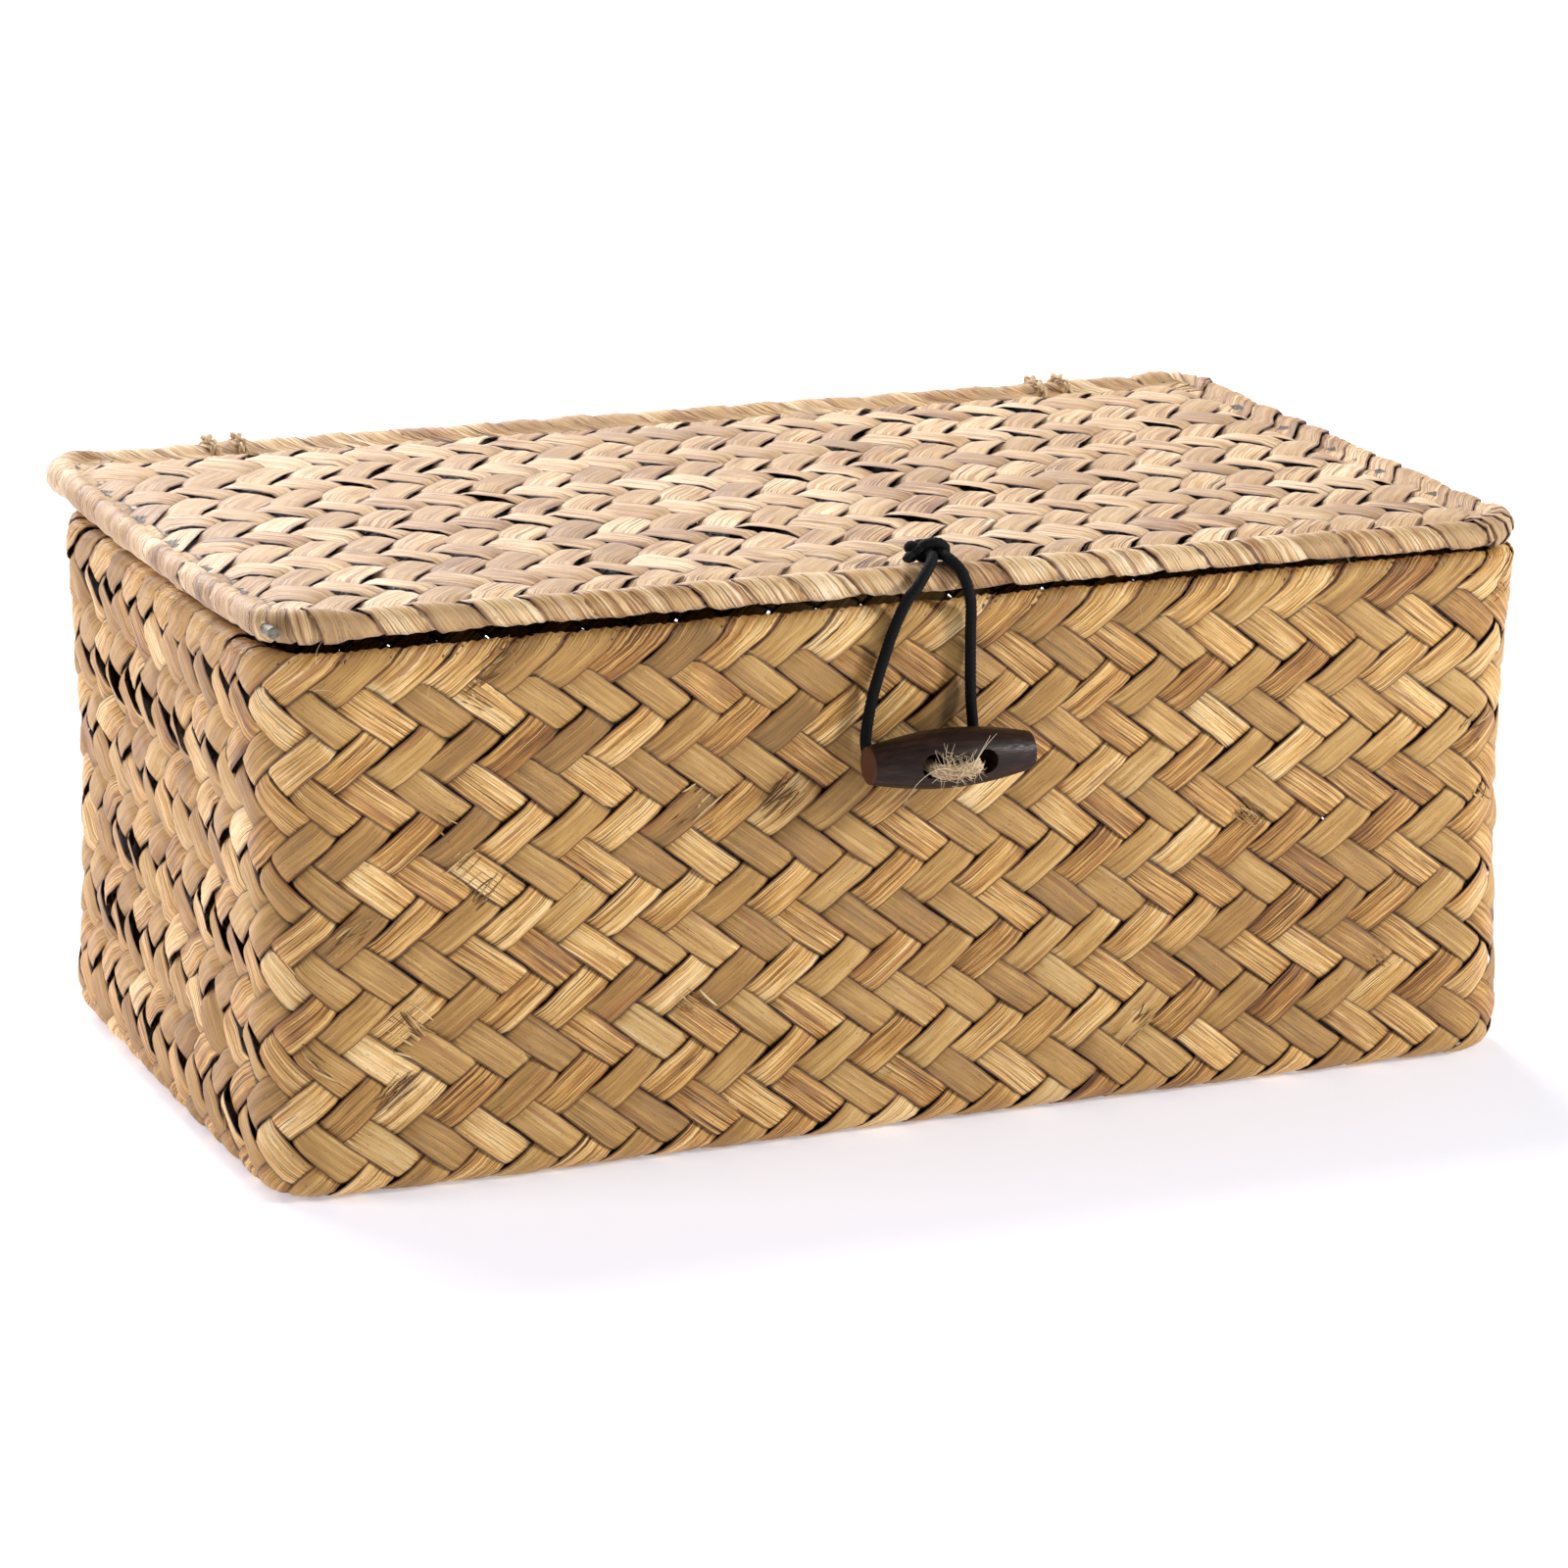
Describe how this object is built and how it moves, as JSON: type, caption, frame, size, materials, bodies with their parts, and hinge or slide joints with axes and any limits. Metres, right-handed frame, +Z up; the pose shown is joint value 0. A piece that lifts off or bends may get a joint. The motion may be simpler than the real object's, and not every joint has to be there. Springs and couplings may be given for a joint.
{
  "type": "lidded storage basket",
  "caption": "Rectangular box basket plaited from leaf strips over wire rims, with a tied-on flat lid closed by an elastic loop over a wooden toggle.",
  "frame": {"origin": "centre of the base, on the surface that the basket stands on", "axes": "+Z up, -Y the front with the toggle, +X to the right as seen from the front"},
  "size_m": [0.3, 0.1924, 0.1341],
  "materials": {
    "leaf_strip_body": "dry plaited leaf strip, golden brown, satin, with fine lengthwise fibres",
    "leaf_strip_lid": "dry plaited leaf strip, paler straw, satin, with fine lengthwise fibres",
    "rim_wire": "dull galvanised wire",
    "twine": "natural twisted twine with loose fibres",
    "dark_wood": "dark stained turned wood, low sheen",
    "elastic": "black braided elastic cord, matt"
  },
  "bodies": {
    "body": {"woven_body": "leaf_strip_body", "body_rim_wire": "rim_wire", "hinge_tie_left": "twine", "hinge_tie_right": "twine"},
    "lid": {"woven_lid": "leaf_strip_lid", "lid_rim_wire": "rim_wire", "elastic_knot": "elastic"},
    "toggle": {"toggle_bar": "dark_wood", "toggle_lashing": "twine"},
    "loop": {"elastic_loop": "elastic"}
  },
  "joints": [
    {"name": "lid_hinge", "type": "hinge", "parent": "body", "child": "lid", "pos_m": [0, 0.0825, 0.1215], "axis": [-1, 0, 0], "range_deg": [0, 110], "deforming": ["hinge_tie_left", "hinge_tie_right", "elastic_loop"]},
    {"name": "toggle_swivel", "type": "hinge", "parent": "body", "child": "toggle", "pos_m": [0, -0.081, 0.088], "axis": [0, -1, 0], "range_deg": [-90, 90]},
    {"name": "loop_swing", "type": "hinge", "parent": "lid", "child": "loop", "pos_m": [0.0027, -0.0783, 0.1295], "axis": [-1, 0, 0], "range_deg": [0, 100]}
  ]
}
